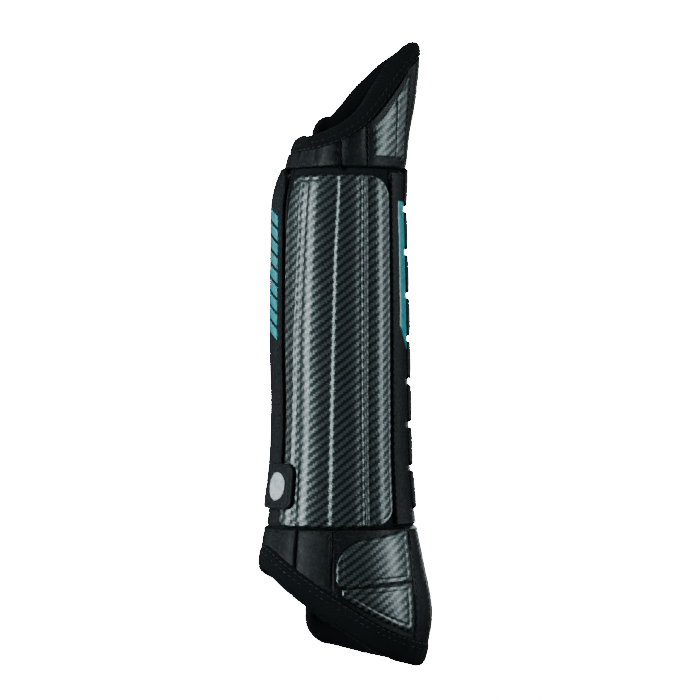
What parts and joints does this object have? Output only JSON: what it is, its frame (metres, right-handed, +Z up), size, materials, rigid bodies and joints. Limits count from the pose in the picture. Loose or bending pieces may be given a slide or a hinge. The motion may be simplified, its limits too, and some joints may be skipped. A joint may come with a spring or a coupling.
{
  "type": "horse tendon boot",
  "caption": "Tall closed tendon boot for a horse's leg, with a fluted strike plate, a segmented tendon guard, slanted rolled rims, elastic straps and a long closing flap",
  "frame": {"origin": "on the leg's axis, at the height of the lowest point of the bottom rim", "axes": "+Z up the leg, +X towards the tendon at the back, -X the front, -Y the inner side of the leg, +Y the outer side where the boot closes"},
  "size_m": [0.1013, 0.0814, 0.36],
  "materials": {
    "liner_foam": "matt perforated foam rubber with knitted face",
    "binding_fabric": "matt knitted stretch binding, double stitched",
    "twill_plate": "satin moulded plate with a raised twill pattern",
    "smooth_hide": "satin black synthetic leather",
    "flap_synthetic": "satin black synthetic, finely textured",
    "block_rubber": "satin black moulded rubber",
    "elastic_web": "black ribbed woven elastic",
    "loop_tape": "black loop tape",
    "hook_tape": "black hook tape",
    "teal_print": "glossy teal print",
    "white_print": "white print"
  },
  "bodies": {
    "shell": {"liner": "liner_foam", "top_binding": "binding_fabric", "bottom_binding": "binding_fabric", "front_edge_tape": "binding_fabric", "strike_plate": "twill_plate", "collar": "smooth_hide", "collar_patch": "twill_plate", "front_guard": "smooth_hide", "fetlock_guard": "smooth_hide", "heel_guard": "smooth_hide", "fetlock_pad_upper": "twill_plate", "fetlock_pad_lower": "twill_plate", "tendon_strip": "flap_synthetic", "tendon_blocks": "block_rubber", "tendon_stripe": "teal_print", "flex_panel": "smooth_hide", "front_edge_panel": "smooth_hide", "front_panel": "flap_synthetic", "front_loop_field": "loop_tape"},
    "wing": {"wing_liner": "liner_foam", "wing_top_binding": "binding_fabric", "wing_bottom_binding": "binding_fabric", "wing_edge_tape": "binding_fabric", "wing_plate": "twill_plate", "wing_collar": "smooth_hide", "wing_guard": "smooth_hide", "wing_closing_panel": "smooth_hide", "strap_anchors": "elastic_web"},
    "straps": {"strap_1": "elastic_web", "strap_2": "elastic_web", "strap_3": "elastic_web", "strap_4": "elastic_web"},
    "flap": {"closing_flap": "flap_synthetic", "flap_hook_strip": "hook_tape", "flap_stripes": "teal_print", "flap_tab": "flap_synthetic", "flap_badge": "white_print"}
  },
  "joints": [
    {"name": "wing_hinge", "type": "hinge", "parent": "shell", "child": "wing", "pos_m": [0.01996, 0.03457, 0.18], "axis": [0.0122, 0.0212, -0.9997], "range_deg": [0, 80]},
    {"name": "strap_hinge", "type": "hinge", "parent": "wing", "child": "straps", "pos_m": [-0.00201, 0.03835, 0.19], "axis": [0, 0, -1], "range_deg": [0, 95]},
    {"name": "flap_hinge", "type": "hinge", "parent": "straps", "child": "flap", "pos_m": [-0.0365, 0.0214, 0.19], "axis": [0, 0, -1], "range_deg": [0, 110]}
  ]
}
